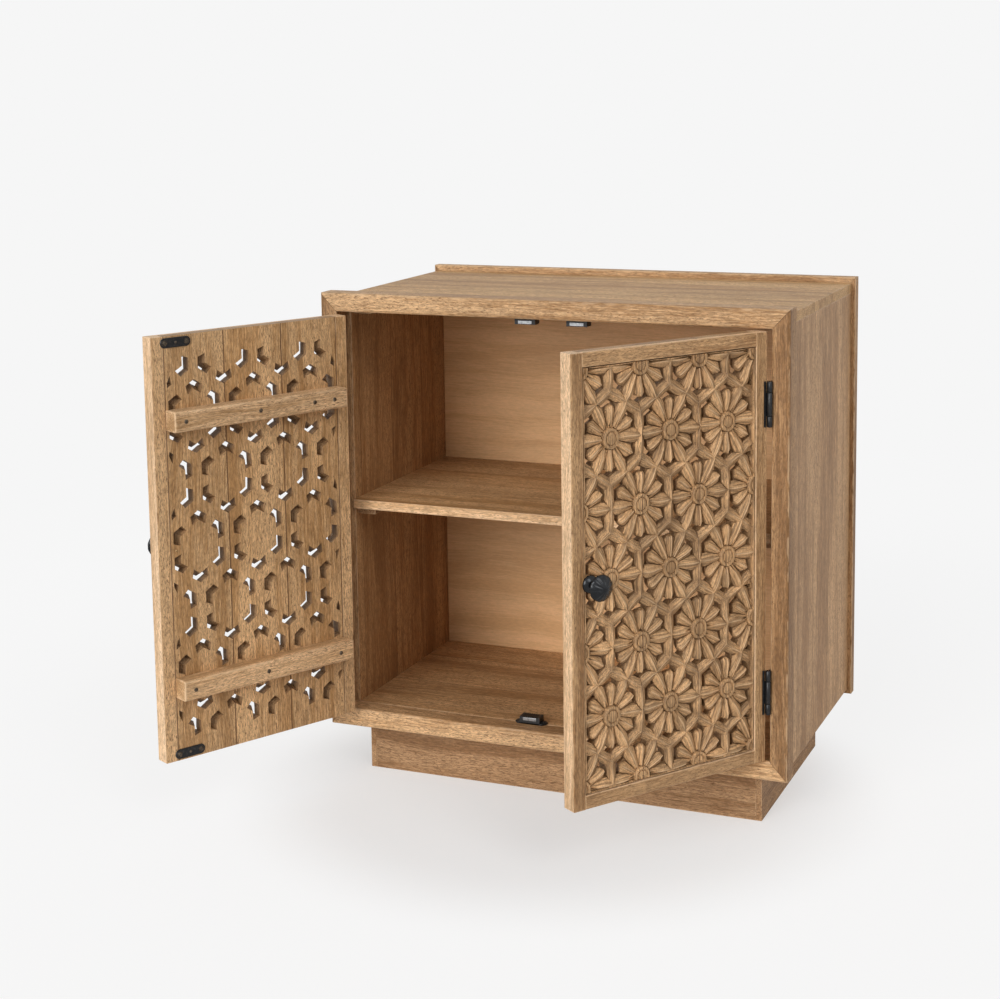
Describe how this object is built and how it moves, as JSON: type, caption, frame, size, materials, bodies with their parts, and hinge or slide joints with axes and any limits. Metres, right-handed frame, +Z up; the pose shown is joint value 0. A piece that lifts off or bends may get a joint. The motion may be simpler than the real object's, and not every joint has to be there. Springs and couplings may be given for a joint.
{
  "type": "two-door carved wooden cabinet",
  "caption": "Low wooden cabinet with a shelf, raised end frames, a recessed plinth and hinged doors carved and pierced with a star lattice.",
  "frame": {"origin": "middle of the underside of the plinth's front board", "axes": "+X to the right of someone facing the doors, +Y towards the back, +Z up"},
  "size_m": [0.7298, 0.6317, 0.635],
  "materials": {
    "frame_wood": "waxed, worn at the arrises",
    "case_wood": "waxed, weathered",
    "back_panel_wood": "thin tan board, matt",
    "shelf_wood": "waxed, worn front edge",
    "plinth_wood": "waxed, scuffed",
    "door_wood": "waxed, worn edges",
    "carved_wood": "carved, waxed, dark in the recesses",
    "batten_wood": "waxed",
    "black_iron": "black, hand-finished, dull",
    "dark_screw": "darkened",
    "black_plate": "painted black, round-ended",
    "steel_screw": "darkened, with eyelets on the strike plates",
    "catch_plastic": "moulded, dull",
    "magnet_steel": "dull"
  },
  "bodies": {
    "case": {"back_board": "back_panel_wood", "back_bottom_rail": "frame_wood", "back_left_stile": "frame_wood", "back_right_stile": "frame_wood", "back_top_rail": "frame_wood", "catch_magnets": "magnet_steel", "catch_screws": "steel_screw", "cleat_screws": "dark_screw", "floor_board": "case_wood", "front_bottom_rail": "frame_wood", "front_left_stile": "frame_wood", "front_right_stile": "frame_wood", "front_top_rail": "frame_wood", "hinge_pins": "black_iron", "left_bottom_catch": "catch_plastic", "left_hinge_case_leaves": "black_iron", "left_shelf_cleat": "shelf_wood", "left_side_board": "case_wood", "left_top_catch": "catch_plastic", "left_top_cleat": "shelf_wood", "plinth_back": "plinth_wood", "plinth_front": "plinth_wood", "plinth_left": "plinth_wood", "plinth_right": "plinth_wood", "right_bottom_catch": "catch_plastic", "right_hinge_case_leaves": "black_iron", "right_shelf_cleat": "shelf_wood", "right_side_board": "case_wood", "right_top_catch": "catch_plastic", "right_top_cleat": "shelf_wood", "shelf": "shelf_wood", "top_board": "case_wood"},
    "left_door": {"left_door_batten_screws": "dark_screw", "left_door_bottom_rail": "door_wood", "left_door_carved_board": "carved_wood", "left_door_free_stile": "door_wood", "left_door_hinge_leaves": "black_iron", "left_door_hinge_stile": "door_wood", "left_door_knob": "black_iron", "left_door_knob_rose": "black_iron", "left_door_lower_batten": "batten_wood", "left_door_strike_plates": "black_plate", "left_door_strike_screws": "steel_screw", "left_door_top_rail": "door_wood", "left_door_upper_batten": "batten_wood"},
    "right_door": {"right_door_batten_screws": "dark_screw", "right_door_bottom_rail": "door_wood", "right_door_carved_board": "carved_wood", "right_door_free_stile": "door_wood", "right_door_hinge_leaves": "black_iron", "right_door_hinge_stile": "door_wood", "right_door_knob": "black_iron", "right_door_knob_rose": "black_iron", "right_door_lower_batten": "batten_wood", "right_door_strike_plates": "black_plate", "right_door_strike_screws": "steel_screw", "right_door_top_rail": "door_wood", "right_door_upper_batten": "batten_wood"}
  },
  "joints": [
    {"name": "left_door_hinge", "type": "hinge", "parent": "case", "child": "left_door", "pos_m": [-0.282, -0.04855, 0.3505], "axis": [0, 0, -1], "range_deg": [-117, 53]},
    {"name": "right_door_hinge", "type": "hinge", "parent": "case", "child": "right_door", "pos_m": [0.282, -0.04855, 0.3505], "axis": [0, 0, 1], "range_deg": [-56, 114]}
  ]
}
